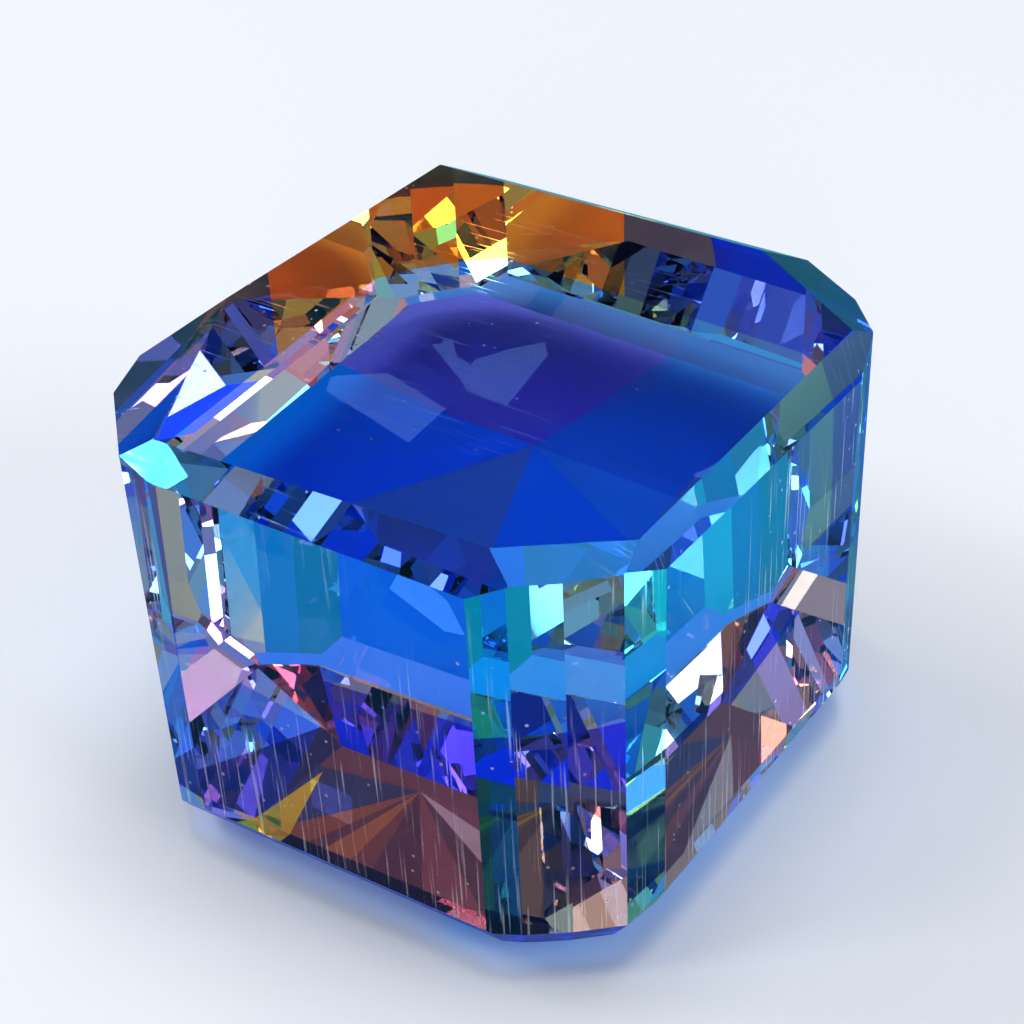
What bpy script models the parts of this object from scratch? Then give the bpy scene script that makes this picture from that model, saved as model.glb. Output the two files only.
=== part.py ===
"""Faceted square step-cut topaz, one solid, standing on its flat base facet with the table up.

Units are metres, +Z is up.  The stone is cut the way a lapidary cuts it: a rough block is
ground flat along one plane for each facet.  A facet is given by its index (the compass
direction it faces, degrees counter-clockwise from +X), its angle from the horizontal and
its depth, the distance from the stone's vertical axis to the facet.
"""
import math

import bmesh
import bpy
from mathutils import Vector

MM = 0.001

# ---- driving dimensions, in millimetres and degrees ----
TABLE_HEIGHT = 15.75         # base facet to table
WALL_FOOT = 2.25             # height at which the broad walls end
NEAR_CORNER_FOOT = 2.15      # height at which the front right corner's walls end
CORNER_FOOT = 1.40           # height at which the other corners' walls end
FOOT_BEVEL_ANGLE = 56.0      # bevel under the walls, from the horizontal
ROUGH_SIZE = 40.0            # block the stone is cut from

# Upright walls: name -> (index, distance from the axis)
BROAD_WALLS = {
    "front": (271.5, 10.02),
    "right": (358.2, 9.98),
    "back": (89.5, 10.69),
    "left": (179.0, 9.69),
}
NEAR_CORNER_WALLS = {
    "front_right_a": (297.0, 11.54),
    "front_right_b": (305.5, 11.71),
    "front_right_c": (310.5, 11.82),
    "front_right_d": (348.7, 10.75),
}
CORNER_WALLS = {
    "right_back_a": (11.6, 11.04),
    "right_back_b": (35.1, 11.97),
    "right_back_c": (58.8, 12.09),
    "back_left_a": (127.8, 12.27),
    "back_left_b": (135.8, 12.16),
    "back_left_c": (145.0, 11.99),
    "left_front_a": (197.7, 10.70),
    "left_front_b": (225.2, 11.07),
    "left_front_c": (257.0, 10.90),
}
WALLS = (
    (BROAD_WALLS, WALL_FOOT),
    (NEAR_CORNER_WALLS, NEAR_CORNER_FOOT),
    (CORNER_WALLS, CORNER_FOOT),
)

# Crown bevels: name -> (index, angle from the horizontal, distance of the table edge)
CROWN = {
    "front": (272.6, 41.2, 9.02),
    "front_right": (305.3, 27.9, 10.70),
    "right": (358.6, 71.0, 9.51),
    "right_back": (56.4, 28.7, 10.11),
    "back": (89.8, 29.8, 8.79),
    "left": (176.4, 40.5, 8.04),
    "left_front": (203.9, 25.6, 8.26),
}

# Pavilion facets under the stone: name -> (index, angle, distance of the base facet's edge)
PAVILION = {
    "front": (271.5, 12.5, 4.67),
    "front_right_a": (303.0, 11.2, 6.46),
    "front_right_b": (312.0, 11.2, 6.59),
    "right": (358.2, 12.5, 4.63),
    "right_back_a": (40.0, 11.2, 6.88),
    "right_back_b": (52.0, 11.2, 6.94),
    "back": (89.5, 12.5, 5.19),
    "back_left_a": (127.8, 11.2, 6.84),
    "back_left_b": (135.8, 11.2, 6.82),
    "back_left_c": (145.0, 11.2, 6.63),
    "left": (179.0, 12.5, 4.46),
    "left_front_a": (220.0, 11.2, 6.42),
    "left_front_b": (231.0, 11.2, 6.44),
}


def compass(index):
    """Unit vector that points along a facet's index direction."""
    angle = math.radians(index)
    return Vector((math.cos(angle), math.sin(angle), 0.0))


def grind(mesh, index, angle, distance, height):
    """Cut the solid flat and close the new facet.

    The plane passes the given distance from the axis at the given height.  Its outward
    side leans up for an angle below 90 degrees and down for one above.
    """
    facing = compass(index)
    tilt = math.radians(angle)
    up = Vector((0.0, 0.0, 1.0))
    geometry = mesh.verts[:] + mesh.edges[:] + mesh.faces[:]
    cut = bmesh.ops.bisect_plane(
        mesh,
        geom=geometry,
        dist=1e-7,
        plane_co=(facing * distance + up * height) * MM,
        plane_no=facing * math.sin(tilt) + up * math.cos(tilt),
        clear_outer=True,
    )
    rim = [item for item in cut["geom_cut"] if isinstance(item, bmesh.types.BMEdge)]
    if rim:
        bmesh.ops.holes_fill(mesh, edges=rim, sides=0)


def centre_on_origin(mesh):
    """Slide the stone sideways so that its bounding box is centred on the origin."""
    xs = [vert.co.x for vert in mesh.verts]
    ys = [vert.co.y for vert in mesh.verts]
    middle = Vector((min(xs) + max(xs), min(ys) + max(ys), 0.0)) / 2
    bmesh.ops.translate(mesh, verts=mesh.verts, vec=-middle)


def cut_stone():
    """Grind every facet of the stone out of the rough block."""
    mesh = bmesh.new()
    bmesh.ops.create_cube(mesh, size=ROUGH_SIZE * MM)
    lift = Vector((0.0, 0.0, ROUGH_SIZE * MM / 2))
    bmesh.ops.translate(mesh, verts=mesh.verts, vec=lift)

    grind(mesh, 0.0, 0.0, 0.0, TABLE_HEIGHT)
    for walls, foot in WALLS:
        for index, distance in walls.values():
            grind(mesh, index, 90.0, distance, 0.0)
    for index, angle, distance in CROWN.values():
        grind(mesh, index, angle, distance, TABLE_HEIGHT)
    for walls, foot in WALLS:
        for index, distance in walls.values():
            grind(mesh, index, 180.0 - FOOT_BEVEL_ANGLE, distance, foot)
    for index, angle, distance in PAVILION.values():
        grind(mesh, index, 180.0 - angle, distance, 0.0)

    bmesh.ops.remove_doubles(mesh, verts=mesh.verts, dist=2e-6)
    bmesh.ops.recalc_face_normals(mesh, faces=mesh.faces)
    centre_on_origin(mesh)
    return mesh


def topaz_material():
    """Clear blue topaz with a coated, dichroic surface."""
    material = bpy.data.materials.new("coated_topaz")
    material.use_nodes = True
    shader = material.node_tree.nodes["Principled BSDF"]
    shader.inputs["Base Color"].default_value = (0.02, 0.22, 0.85, 1.0)
    shader.inputs["Metallic"].default_value = 0.0
    shader.inputs["Roughness"].default_value = 0.02
    shader.inputs["IOR"].default_value = 1.6
    shader.inputs["Transmission Weight"].default_value = 1.0
    return material


def build():
    """Clear the scene and make the stone."""
    for old in list(bpy.data.objects):
        bpy.data.objects.remove(old, do_unlink=True)

    collection = bpy.data.collections.new("mystic_topaz")
    bpy.context.scene.collection.children.link(collection)

    mesh = cut_stone()
    data = bpy.data.meshes.new("topaz")
    mesh.to_mesh(data)
    mesh.free()
    data.shade_flat()

    stone = bpy.data.objects.new("topaz", data)
    stone.data.materials.append(topaz_material())
    collection.objects.link(stone)


build()
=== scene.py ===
"""Looks of the mystic topaz: a clear coated stone on a pale floor under soft studio light.

The coating has one colour for light that goes through a facet and one for light that is
sent back inside.  Some of these colours are painted light and shade: fields on the underside
that stand in for the light patterns on the floor beneath, an orange glow at the far corner,
and a few smaller patches.  Facets are told apart by lean, which runs from 0 (facing down) to 1
(facing up), and by index, in turns counter-clockwise from +X.  A table of colours by lean,
index or turns gives the colour from each position up to the next.
"""
import math

import bpy
from mathutils import Matrix, Vector

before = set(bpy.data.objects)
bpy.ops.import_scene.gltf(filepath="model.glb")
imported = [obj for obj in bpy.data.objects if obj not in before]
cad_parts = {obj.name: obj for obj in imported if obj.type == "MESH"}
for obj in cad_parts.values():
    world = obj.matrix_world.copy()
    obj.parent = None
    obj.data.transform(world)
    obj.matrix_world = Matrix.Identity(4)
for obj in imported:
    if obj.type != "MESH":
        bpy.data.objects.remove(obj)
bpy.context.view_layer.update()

MM = 0.001

# ---- camera, placed in the part's frame ----
CAMERA_PLACE = (31.0, -44.2, 48.28)      # mm
CAMERA_HEADING = 124.6                   # degrees, the way it looks over the floor
CAMERA_PITCH = 36.05                     # degrees downwards
CAMERA_ROLL = 2.8                        # degrees
CAMERA_LENS = 72.9                       # mm
CAMERA_SENSOR = 36.0                     # mm
CAMERA_CLIP = 0.001                      # m, nearer things aren't drawn

# ---- floor and light ----
FLOOR_SIZE = 8.0                         # m
FLOOR_DROP = 0.02                        # mm below the stone
FLOOR_COLOUR = (0.40, 0.41, 0.43, 1.0)
FLOOR_ROUGHNESS = 0.8
SURROUND = (                             # brightness of the surround, from horizon to zenith
    (0.50, (0.50, 0.55, 0.62)),
    (0.80, (0.50, 0.54, 0.60)),
    (1.00, (0.40, 0.42, 0.46)),
)
SOFT_BOXES = (                           # heading, height in degrees, distance, side in m, watts
    (190.0, 42.0, 0.55, 0.26, 1.5),      # left
    (229.0, 54.0, 0.60, 0.105, 0.6),     # front left
    (221.5, 41.6, 0.55, 0.030, 0.11),    # small, front left
    (4.0, 26.0, 0.60, 0.30, 1.7),        # low right
    (-60.0, 20.0, 0.70, 0.20, 0.7),      # low front
    (60.0, 82.0, 0.60, 0.32, 2.5),       # overhead
)
BOUNCES = 18                             # reflections and refractions followed

# ---- kinds of facet ----
OFF = (0.0, 0.0, 0.0)
ON = (1.0, 1.0, 1.0)
WHITE = (1.0, 1.0, 1.0, 1.0)
# Each kind starts at its lean or index; the base is below the first lean
PAVILION_LEAN = 0.005
FOOT_LEAN = 0.10                         # bevel round the foot
WALL_LEAN = 0.40
CROWN_LEAN = 0.60
SHALLOW_LEAN = 0.80                      # all crown bevels but the right one
TABLE_LEAN = 0.97
BACK_INDEX = 0.20
FAR_INDEX = 0.30                         # far corner, back left
LEFT_INDEX = 0.45
LEFT_FRONT_INDEX = 0.56                  # left front corner of the pavilion

# ---- coating ----
IOR = 1.59
SHINE = (                                # sent back outside, by lean
    (0.0, (0.50, 0.50, 0.90)),
    (WALL_LEAN, (0.10, 0.30, 0.70)),
    (CROWN_LEAN, (0.08, 0.42, 0.55)),
    (TABLE_LEAN, (0.05, 0.08, 0.22)),
)
LEAN_THROUGH = (                         # by lean, where no other table says the colour
    (0.0, (0.10, 0.38, 0.92)),           # foot bevel
    (TABLE_LEAN, (1.00, 1.00, 1.00)),
)
LEAN_BACK = (                            # the same
    (0.0, (0.90, 0.70, 0.80)),           # foot bevel
    (CROWN_LEAN, (1.00, 0.70, 0.85)),    # right crown bevel
    (SHALLOW_LEAN, (0.85, 0.80, 1.00)),  # other crown bevels
    (TABLE_LEAN, (0.90, 0.88, 1.00)),    # table
)
WALL_THROUGH = (                         # by index
    (0.0, (0.10, 0.70, 0.90)),           # right back corner
    (0.20, (0.00, 0.24, 0.80)),          # back
    (0.30, (0.00, 0.33, 0.44)),          # back left corner, three walls
    (0.366, (0.00, 0.35, 0.60)),
    (0.39, (0.02, 0.60, 0.80)),
    (0.45, (0.00, 0.36, 0.78)),          # left
    (0.53, (0.45, 0.75, 1.00)),          # left front corner
    (0.735, (0.70, 0.66, 1.00)),         # front
    (0.80, (0.05, 0.90, 1.00)),          # front right corner, four walls
    (0.837, (0.50, 0.95, 1.00)),
    (0.856, (0.95, 0.98, 0.95)),
    (0.92, (0.20, 1.00, 0.92)),
    (0.98, (0.60, 0.86, 1.00)),          # right
)
WALL_BACK = (                            # by index
    (0.0, (0.85, 0.70, 1.00)),           # right back corner
    (0.20, (0.26, 0.58, 1.00)),          # back
    (0.30, (0.60, 0.85, 1.00)),          # back left corner
    (0.45, (0.55, 0.88, 1.00)),          # left
    (0.53, (0.95, 0.75, 1.00)),          # left front corner
    (0.735, (0.90, 0.90, 1.00)),         # front and front right corner
    (0.98, (0.95, 0.75, 0.95)),          # right
)
CROWN_THROUGH = (                        # by index
    (0.0, (0.02, 0.05, 0.42)),           # right back
    (0.20, (0.75, 0.65, 0.35)),          # back
    (0.40, (0.60, 0.60, 0.60)),          # left
    (0.53, (0.45, 0.40, 0.85)),          # left front
    (0.70, (0.58, 0.88, 1.00)),          # front
    (0.80, (0.08, 0.35, 0.95)),          # front right
    (0.95, (0.60, 0.80, 1.00)),          # right
)
BLUSH = (1.00, 0.72, 0.88, 1.0)          # sent back by walls that are met edge-on
BLUSH_FACING = 0.62                      # at least, counted from face-on, 0, to edge-on, 1

# Painted orange glow at the far corner: reflection colour given by place to light that walls
# send back after it has crossed little of the stone
PAINTED_GLOW = (                                # by index
    (0.0, (0.95, 0.58, 0.10)),           # back
    (0.30, (1.00, 0.52, 0.08)),          # back left corner, three walls
    (0.366, (1.00, 0.42, 0.05)),
    (0.39, (1.00, 0.56, 0.10)),
    (0.45, (1.00, 0.50, 0.12)),          # left
)
GLOW_PLACE = (-10.0, 10.0)              # mm
GLOW_REACH = 8.6                        # mm round that place
GLOW_DEPTH = 14.0                       # mm of stone crossed first, at most
PAINTED_BLUE_REFLECTION = (0.16, 0.30, 1.00, 1.0)            # painted blue reflection: the same light, sent back further from that corner
PAINTED_GLOW_OUT = (1.00, 0.68, 0.30, 1.0)      # painted orange glow on reflected light that leaves near the far corner
GLOW_OUT_REACH = 10.5                   # mm round the same place

# Fire: pale spectral colours of light that has been reflected inside before
FIRE = (                                 # blended from each to the next
    (0.00, (1.00, 0.36, 0.24)),
    (0.14, (1.00, 0.70, 0.26)),
    (0.28, (0.78, 0.95, 0.55)),
    (0.42, (0.22, 0.92, 0.88)),
    (0.56, (0.22, 0.62, 1.00)),
    (0.70, (0.42, 0.32, 1.00)),
    (0.85, (0.98, 0.42, 0.90)),
    (1.00, (1.00, 0.36, 0.24)),
)
FIRE_TURNS = 2.5                         # spectra from face-on to edge-on
FIRE_INDEX_TURNS = 3.0                   # spectra round the stone
FIRE_BACK = 0.25                         # strength where it is sent back inside
FIRE_OUT = 0.55                          # strength where it leaves

# Underside: painted light and shadow, fields of colour that stand in for the patterns light
# casts through the stone onto the floor beneath, by turns round the point where they meet
PAINTED_FIELDS_CENTRE = (-0.9, 3.5)                      # mm, that point, where the painted fields meet
PAINTED_UNDER_THROUGH = (                        # base and pavilion: painted light and shadow of the floor seen through them
    (0.0, (0.07, 0.30, 0.88)),
    (0.20, (0.20, 0.22, 0.84)),
    (0.50, (0.00, 0.29, 1.00)),
    (0.66, (0.16, 0.33, 0.80)),
    (0.800, (0.00, 0.33, 1.00)),
    (0.925, (0.09, 0.37, 0.94)),
)
PAINTED_BASE_BACK = (                            # by turns as well: painted light and shade patches in what the base sends back inside
    (0.0, (0.34, 0.15, 0.20)),
    (0.55, (0.13, 0.12, 0.36)),
    (0.695, (0.50, 0.20, 0.10)),
    (0.715, (0.28, 0.12, 0.16)),
    (0.730, (0.62, 0.28, 0.12)),
    (0.750, (0.36, 0.15, 0.14)),
    (0.765, (0.24, 0.10, 0.16)),
    (0.800, (0.44, 0.18, 0.24)),
    (0.835, (0.26, 0.12, 0.18)),
    (0.865, (0.78, 0.64, 1.00)),
    (0.925, (0.40, 0.16, 0.26)),
)
PAVILION_BACK = (                        # by index
    (0.0, (0.80, 0.65, 1.00)),           # right back corner
    (0.20, (0.18, 0.14, 1.00)),          # back
    (0.30, (0.42, 0.10, 0.10)),          # back left corner, three facets
    (0.366, (0.60, 0.28, 0.14)),
    (0.39, (0.85, 0.46, 0.24)),
    (0.45, (0.26, 0.50, 1.00)),          # left
    (0.56, (0.80, 0.80, 1.00)),          # left front corner
    (0.70, (0.04, 0.015, 0.03)),         # front
    (0.80, (0.80, 0.65, 1.00)),          # front right corner and right
)
PAINTED_NAVY_SHADE = (0.10, 0.07, 0.30, 1.0)           # painted shade: dark reflection on the inner part of the left pavilion facet
SHADE_EDGE = -6.7                         # mm along X, where it starts
SHADE_SLANT = -0.2                        # mm added to X for each mm of Y
DEEP = (0.62, 0.86, 1.00, 1.0)           # pavilion outside the far corner, met from far away
DEEP_REACH = 22.3                        # mm of stone crossed first, at least
DEEP_REACH_LEFT = -3.7                   # mm, change of that for the left facet
ROSE = (1.00, 0.80, 0.88, 1.0)           # back pavilion facet, met from close by
ROSE_REACH = 16.6                        # mm of stone crossed first, at most
PAINTED_YELLOW_REFLECTION = (1.00, 0.80, 0.03, 1.0)       # painted yellow reflection: a wedge of yellow in what the underside sends back
REFLECTION_TIP = (-4.3, 1.9)               # mm
REFLECTION_EDGES = (-94.0, -82.0)          # degrees, its two sides
FACE_ON_BACK = (0.08, 0.22, 1.00, 1.0)   # underside, where it is met face-on
FACE_ON_FACING = 0.35                    # at most, counted as for the blush

# ---- wear, on the outside only ----
NOISE_DETAIL = 1.0                       # of scratches and streaks
SCRATCH_SCALE = (250.0, 9000.0, 900.0)   # noise cells per metre, across the table
SCRATCH_HEADING = 25.0                   # degrees, turn of the scratches about Z
STREAK_SCALE = (9000.0, 9000.0, 260.0)   # noise cells per metre, down the walls
LINE_START = 0.60                        # noise value where a line starts
LINE_GAIN = 10.0                         # how fast it rises from there
LINE_ROUGHNESS = 0.20
WORN_SCALE = 220.0                       # worn patches per metre
WORN_START = 0.45                        # the same two for the patches
WORN_GAIN = 5.0
DUST_SCALE = 1500.0                      # cells per metre, one speck in each
SPECK_SIZE = 0.085                       # share of a cell
SPECK_ROUGHNESS = 0.45
DUST_HEIGHT = 8.0                        # mm, walls are more worn below this
DUST_FADE = 4.0                          # mm, height over which they become so
MARK_STRENGTH = 0.16                     # how much more light lines and specks scatter back
TABLE_MARKS = 0.35                       # share of that on the table and the bevels


class Nodes:
    """Short ways to add shader nodes to one node tree."""

    def __init__(self, tree):
        self.tree = tree

    def add(self, kind, **settings):
        node = self.tree.nodes.new("ShaderNode" + kind)
        for name, value in settings.items():
            setattr(node, name, value)
        return node

    def feed(self, socket, value):
        if isinstance(value, bpy.types.NodeSocket):
            self.tree.links.new(value, socket)
        else:
            socket.default_value = value

    def math(self, operation, *values, clamp=False):
        node = self.add("Math", operation=operation, use_clamp=clamp)
        for socket, value in zip(node.inputs, values):
            self.feed(socket, value)
        return node.outputs[0]

    def both(self, *values):
        """Product of masks: 1 where all of them are 1."""
        product = values[0]
        for value in values[1:]:
            product = self.math("MULTIPLY", product, value)
        return product

    def mix(self, factor, first, second):
        node = self.add("Mix", data_type="RGBA")
        self.feed(node.inputs["Factor"], factor)
        self.feed(node.inputs["A"], first)
        self.feed(node.inputs["B"], second)
        return node.outputs["Result"]

    def split(self, vector):
        node = self.add("SeparateXYZ")
        self.feed(node.inputs[0], vector)
        return node

    def steps(self, value, stops, interpolation="CONSTANT"):
        """Colour ramp with the given (position, colour) stops."""
        node = self.add("ValToRGB")
        ramp = node.color_ramp
        ramp.interpolation = interpolation
        while len(ramp.elements) < len(stops):
            ramp.elements.new(1.0)
        for element, (position, colour) in zip(ramp.elements, stops):
            element.position = position
            element.color = (*colour, 1.0)
        self.feed(node.inputs["Fac"], value)
        return node.outputs["Color"]

    def between(self, value, low, high):
        """Mask that is 1 from low up to high."""
        return self.steps(value, ((0.0, OFF), (low, ON), (high, OFF)))

    def turns(self, north, east):
        """Direction of a point as 0 to 1, counter-clockwise from +X."""
        angle = self.math("ARCTAN2", north, east)
        turn = self.math("DIVIDE", angle, 2.0 * math.pi)
        return self.math("FRACT", self.math("ADD", turn, 1.0))

    def from_point(self, spot, point):
        """X and Y of the surface point, counted from a point in mm."""
        east = self.math("SUBTRACT", spot.outputs["X"], point[0] * MM)
        north = self.math("SUBTRACT", spot.outputs["Y"], point[1] * MM)
        return east, north

    def noise(self, place, scale, detail):
        node = self.add("TexNoise")
        node.inputs["Scale"].default_value = scale
        node.inputs["Detail"].default_value = detail
        self.feed(node.inputs["Vector"], place)
        return node.outputs["Fac"]

    def stretched_noise(self, place, scale, heading=0.0):
        """Noise drawn out along one axis."""
        node = self.add("Mapping")
        self.feed(node.inputs["Vector"], place)
        node.inputs["Rotation"].default_value = (0.0, 0.0, math.radians(heading))
        node.inputs["Scale"].default_value = scale
        return self.noise(node.outputs[0], 1.0, NOISE_DETAIL)

    def above(self, value, start, gain):
        """0 up to start, then rising to 1 at the most."""
        rest = self.math("SUBTRACT", value, start, clamp=True)
        return self.math("MULTIPLY", rest, gain, clamp=True)


def make_camera():
    """Camera at the photograph's viewing angle."""
    heading = math.radians(CAMERA_HEADING)
    pitch = math.radians(CAMERA_PITCH)
    roll = math.radians(CAMERA_ROLL)
    flat = Vector((math.cos(heading), math.sin(heading), 0.0))
    side = Vector((math.sin(heading), -math.cos(heading), 0.0))
    ahead = flat * math.cos(pitch) - Vector((0.0, 0.0, math.sin(pitch)))
    down = -flat * math.sin(pitch) - Vector((0.0, 0.0, math.cos(pitch)))
    right = side * math.cos(roll) + down * math.sin(roll)
    low = -side * math.sin(roll) + down * math.cos(roll)
    data = bpy.data.cameras.new("camera")
    data.sensor_width = CAMERA_SENSOR
    data.lens = CAMERA_LENS
    data.clip_start = CAMERA_CLIP
    camera = bpy.data.objects.new("camera", data)
    turn = Matrix((right, -low, -ahead)).transposed()
    place = Matrix.Translation(Vector(CAMERA_PLACE) * MM)
    camera.matrix_world = place @ turn.to_4x4()
    bpy.context.scene.collection.objects.link(camera)
    bpy.context.scene.camera = camera


def make_floor():
    """Plain pale floor."""
    bpy.ops.mesh.primitive_plane_add(size=FLOOR_SIZE, location=(0.0, 0.0, -FLOOR_DROP * MM))
    floor = bpy.context.object
    floor.name = "floor"
    material = bpy.data.materials.new("floor_paint")
    material.use_nodes = True
    shader = material.node_tree.nodes["Principled BSDF"]
    shader.inputs["Base Color"].default_value = FLOOR_COLOUR
    shader.inputs["Roughness"].default_value = FLOOR_ROUGHNESS
    floor.data.materials.append(material)


def make_surround():
    """Dim surround, a little brighter at the horizon than overhead."""
    world = bpy.data.worlds.new("studio")
    bpy.context.scene.world = world
    world.use_nodes = True
    background = world.node_tree.nodes["Background"]
    nodes = Nodes(world.node_tree)
    height = nodes.split(nodes.add("TexCoord").outputs["Generated"])
    level = nodes.math("MULTIPLY_ADD", height.outputs["Z"], 0.5, 0.5)
    nodes.feed(background.inputs["Color"], nodes.steps(level, SURROUND, "LINEAR"))


def make_soft_boxes():
    """Square lamps that face the stone."""
    for heading, lift, distance, side, power in SOFT_BOXES:
        turn = math.radians(heading)
        rise = math.radians(lift)
        flat = math.cos(rise)
        way = Vector((math.cos(turn) * flat, math.sin(turn) * flat, math.sin(rise)))
        data = bpy.data.lights.new("softbox", "AREA")
        data.size = side
        data.energy = power
        lamp = bpy.data.objects.new("softbox", data)
        lamp.location = way * distance
        lamp.rotation_euler = way.to_track_quat("Z", "Y").to_euler()
        bpy.context.scene.collection.objects.link(lamp)


class Surface:
    """What the material knows about the point that light meets."""

    def __init__(self, nodes):
        # Which kind of facet it is
        geometry = nodes.add("NewGeometry")
        self.inside = geometry.outputs["Backfacing"]
        outward = nodes.math("MULTIPLY_ADD", self.inside, -2.0, 1.0)
        normal = nodes.split(geometry.outputs["True Normal"])
        x = nodes.math("MULTIPLY", normal.outputs["X"], outward)
        y = nodes.math("MULTIPLY", normal.outputs["Y"], outward)
        z = nodes.math("MULTIPLY", normal.outputs["Z"], outward)
        self.lean = nodes.math("MULTIPLY_ADD", z, 0.5, 0.5)
        self.index = nodes.turns(y, x)
        self.is_under = nodes.steps(self.lean, ((0.0, ON), (FOOT_LEAN, OFF)))
        self.is_pavilion = nodes.between(self.lean, PAVILION_LEAN, FOOT_LEAN)
        self.is_wall = nodes.between(self.lean, WALL_LEAN, CROWN_LEAN)
        self.is_crown = nodes.between(self.lean, CROWN_LEAN, TABLE_LEAN)

        # Where it is
        self.place = nodes.add("TexCoord").outputs["Object"]
        self.spot = nodes.split(self.place)
        # Turns round the point where the painted light and shade fields of the underside meet
        east, north = nodes.from_point(self.spot, PAINTED_FIELDS_CENTRE)
        self.painted_field_turns = nodes.turns(north, east)

        flat = nodes.add("CombineXYZ")
        nodes.feed(flat.inputs["X"], self.spot.outputs["X"])
        nodes.feed(flat.inputs["Y"], self.spot.outputs["Y"])
        corner = nodes.add("VectorMath", operation="DISTANCE")
        nodes.feed(corner.inputs[0], flat.outputs[0])
        nodes.feed(corner.inputs[1], (GLOW_PLACE[0] * MM, GLOW_PLACE[1] * MM, 0.0))
        self.from_far_corner = corner.outputs["Value"]

        # How the light meets it: its angle, its last stretch, and whether it was reflected
        self.facing = nodes.add("LayerWeight").outputs["Facing"]
        path = nodes.add("LightPath")
        self.crossed = path.outputs["Ray Length"]
        self.later = nodes.math("GREATER_THAN", path.outputs["Glossy Depth"], 0.5)


def fire_colour(nodes, surface):
    """Spectral colour that runs with the angle between the light and the facet."""
    round_stone = nodes.math("MULTIPLY", surface.index, FIRE_INDEX_TURNS)
    hue = nodes.math("MULTIPLY_ADD", surface.facing, FIRE_TURNS, round_stone)
    return nodes.steps(nodes.math("FRACT", hue), FIRE, "LINEAR")


def light_through(nodes, surface, fire):
    """Colour of light that goes through a facet, either way."""
    colour = nodes.steps(surface.lean, LEAN_THROUGH)
    colour = nodes.mix(surface.is_wall, colour, nodes.steps(surface.index, WALL_THROUGH))
    # Underside: painted light and shadow of the floor beneath, by turns round their centre
    colour = nodes.mix(surface.is_under, colour, nodes.steps(surface.painted_field_turns, PAINTED_UNDER_THROUGH))
    colour = nodes.mix(surface.is_crown, colour, nodes.steps(surface.index, CROWN_THROUGH))
    late_wall = nodes.both(surface.later, surface.is_wall)
    colour = nodes.mix(late_wall, colour, nodes.mix(FIRE_OUT, WHITE, fire))
    # Painted orange glow on reflected light that leaves near the far corner
    near = nodes.math("LESS_THAN", surface.from_far_corner, GLOW_OUT_REACH * MM)
    return nodes.mix(nodes.both(surface.later, near), colour, PAINTED_GLOW_OUT)


def underside_back(nodes, surface):
    """Colour of light that the base and the pavilion send back inside, with painted light and
    shade patches in it.
    """
    # Base: painted light and shade patches, by turns round their centre
    base = nodes.steps(surface.painted_field_turns, PAINTED_BASE_BACK)
    pavilion = nodes.steps(surface.index, PAVILION_BACK)
    colour = nodes.mix(surface.is_pavilion, base, pavilion)

    # Painted shade on the inner part of the left pavilion facet
    is_left = nodes.between(surface.index, LEFT_INDEX, LEFT_FRONT_INDEX)
    along = nodes.math("MULTIPLY_ADD", surface.spot.outputs["Y"], SHADE_SLANT,
                       surface.spot.outputs["X"])
    inner = nodes.math("GREATER_THAN", along, SHADE_EDGE * MM)
    colour = nodes.mix(nodes.both(inner, is_left, surface.is_pavilion), colour, PAINTED_NAVY_SHADE)

    reach = nodes.math("MULTIPLY_ADD", is_left, DEEP_REACH_LEFT * MM, DEEP_REACH * MM)
    deep = nodes.math("GREATER_THAN", surface.crossed, reach)
    not_far = nodes.steps(surface.index, ((0.0, ON), (FAR_INDEX, OFF), (LEFT_INDEX, ON)))
    colour = nodes.mix(nodes.both(deep, not_far, surface.is_pavilion), colour, DEEP)

    close = nodes.math("LESS_THAN", surface.crossed, ROSE_REACH * MM)
    is_back = nodes.between(surface.index, BACK_INDEX, FAR_INDEX)
    colour = nodes.mix(nodes.both(close, is_back, surface.is_pavilion), colour, ROSE)

    # Painted yellow reflection: a wedge between two directions from its tip
    east, north = nodes.from_point(surface.spot, REFLECTION_TIP)
    side = nodes.math("ARCTAN2", north, east)
    first = nodes.math("GREATER_THAN", side, math.radians(REFLECTION_EDGES[0]))
    second = nodes.math("LESS_THAN", side, math.radians(REFLECTION_EDGES[1]))
    colour = nodes.mix(nodes.both(first, second), colour, PAINTED_YELLOW_REFLECTION)

    face_on = nodes.math("LESS_THAN", surface.facing, FACE_ON_FACING)
    return nodes.mix(face_on, colour, FACE_ON_BACK)


def light_back(nodes, surface, fire):
    """Colour of light that a facet sends back inside."""
    colour = nodes.steps(surface.lean, LEAN_BACK)
    colour = nodes.mix(surface.is_wall, colour, nodes.steps(surface.index, WALL_BACK))
    colour = nodes.mix(surface.is_under, colour, underside_back(nodes, surface))
    edge_on = nodes.math("GREATER_THAN", surface.facing, BLUSH_FACING)
    colour = nodes.mix(nodes.both(edge_on, surface.is_wall), colour, BLUSH)
    # Painted glow: orange on short wall reflections near the far corner, painted blue further
    # from it
    near = nodes.math("LESS_THAN", surface.from_far_corner, GLOW_REACH * MM)
    painted_glow_colour = nodes.mix(near, PAINTED_BLUE_REFLECTION, nodes.steps(surface.index, PAINTED_GLOW))
    short = nodes.math("LESS_THAN", surface.crossed, GLOW_DEPTH * MM)
    colour = nodes.mix(nodes.both(surface.is_wall, short), colour, painted_glow_colour)
    return nodes.mix(surface.later, colour, nodes.mix(FIRE_BACK, WHITE, fire))


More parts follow.
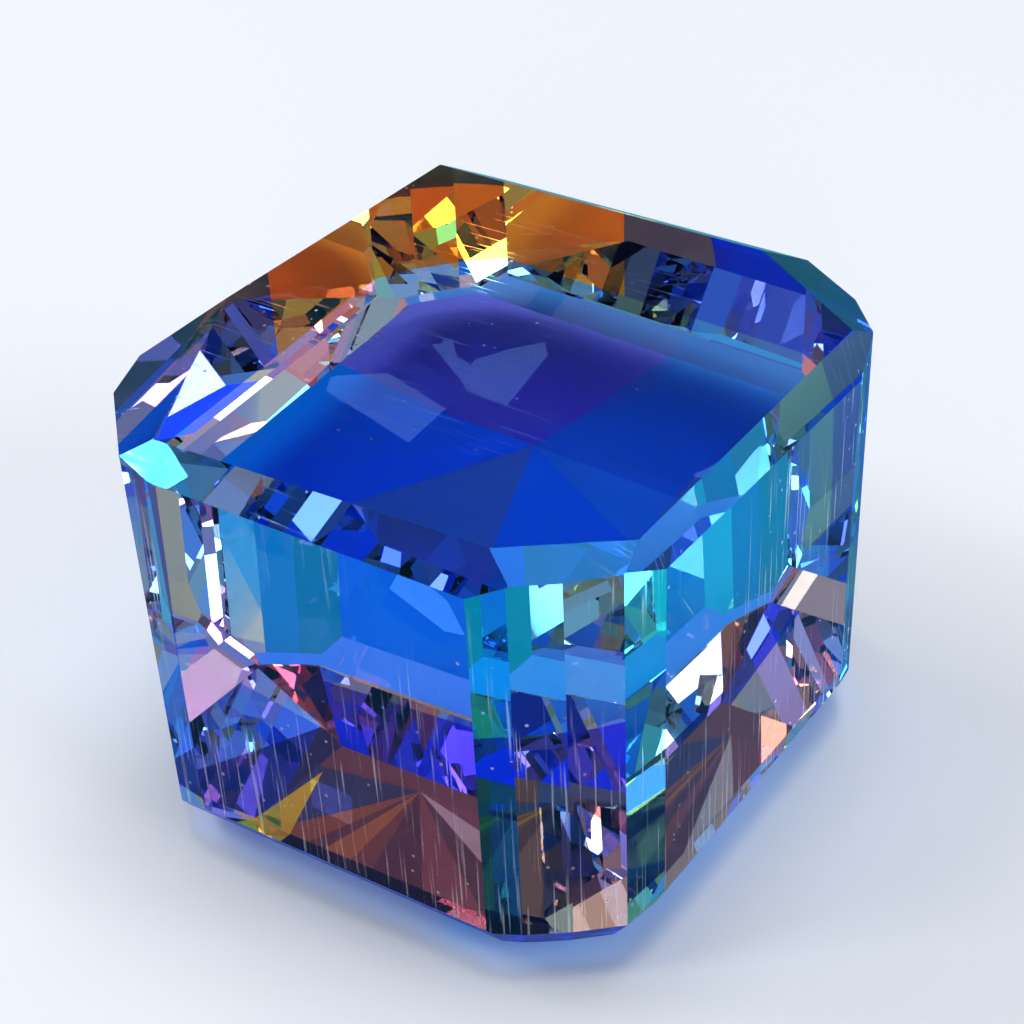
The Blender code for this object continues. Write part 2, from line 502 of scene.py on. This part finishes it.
def wear(nodes, surface):
    """Roughness and place of polishing lines, fine scratches and dust on the outside."""
    scratch = nodes.stretched_noise(surface.place, SCRATCH_SCALE, SCRATCH_HEADING)
    streak = nodes.stretched_noise(surface.place, STREAK_SCALE)
    lines = nodes.above(nodes.mix(surface.is_wall, scratch, streak), LINE_START, LINE_GAIN)
    patch = nodes.noise(surface.place, WORN_SCALE, 0.0)
    worn = nodes.above(patch, WORN_START, WORN_GAIN)
    depth = nodes.math("SUBTRACT", DUST_HEIGHT * MM, surface.spot.outputs["Z"])
    low = nodes.math("DIVIDE", depth, DUST_FADE * MM, clamp=True)
    worn = nodes.math("MAXIMUM", worn, nodes.both(low, surface.is_wall))
    lines = nodes.both(lines, worn)
    dust = nodes.add("TexVoronoi")
    dust.inputs["Scale"].default_value = DUST_SCALE
    nodes.feed(dust.inputs["Vector"], surface.place)
    speck = nodes.math("LESS_THAN", dust.outputs["Distance"], SPECK_SIZE)
    speck = nodes.both(speck, worn)
    outside = nodes.math("SUBTRACT", 1.0, surface.inside)
    share = nodes.math("MAXIMUM", surface.is_wall, TABLE_MARKS)
    marks = nodes.both(nodes.math("MAXIMUM", lines, speck), outside, share)
    specks = nodes.math("MULTIPLY", speck, SPECK_ROUGHNESS)
    rough = nodes.math("MULTIPLY_ADD", lines, LINE_ROUGHNESS, specks)
    return nodes.both(rough, outside), marks


def dress_stone():
    """Coated topaz: clear inside, with a coloured film that differs from facet to facet, and
    painted light and shade: floor light patterns under the base, a glow at the far corner and a
    few patches.
    """
    material = bpy.data.materials.new("mystic_topaz")
    material.use_nodes = True
    tree = material.node_tree
    tree.nodes.clear()
    nodes = Nodes(tree)
    surface = Surface(nodes)
    fire = fire_colour(nodes, surface)
    through = light_through(nodes, surface, fire)
    back = light_back(nodes, surface, fire)
    rough, marks = wear(nodes, surface)
    outer = nodes.mix(marks, nodes.steps(surface.lean, SHINE), WHITE)
    shine = nodes.mix(surface.inside, outer, back)
    fresnel = nodes.add("Fresnel")
    fresnel.inputs["IOR"].default_value = IOR
    share = nodes.math("MULTIPLY_ADD", marks, MARK_STRENGTH, fresnel.outputs[0], clamp=True)
    refraction = nodes.add("BsdfRefraction")
    refraction.inputs["IOR"].default_value = IOR
    nodes.feed(refraction.inputs["Roughness"], rough)
    nodes.feed(refraction.inputs["Color"], through)
    glossy = nodes.add("BsdfGlossy")
    nodes.feed(glossy.inputs["Roughness"], rough)
    nodes.feed(glossy.inputs["Color"], shine)
    mixed = nodes.add("MixShader")
    nodes.feed(mixed.inputs[0], share)
    nodes.feed(mixed.inputs[1], refraction.outputs[0])
    nodes.feed(mixed.inputs[2], glossy.outputs[0])
    output = nodes.add("OutputMaterial")
    nodes.feed(output.inputs["Surface"], mixed.outputs[0])
    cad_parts["topaz"].material_slots[0].material = material


def set_view():
    """Colour management, and enough bounces for light to cross the stone many times."""
    scene = bpy.context.scene
    scene.view_settings.view_transform = "Standard"
    scene.view_settings.look = "Medium High Contrast"
    scene.cycles.max_bounces = BOUNCES
    scene.cycles.transmission_bounces = BOUNCES
    scene.cycles.glossy_bounces = BOUNCES


make_camera()
make_floor()
make_surround()
make_soft_boxes()
dress_stone()
set_view()
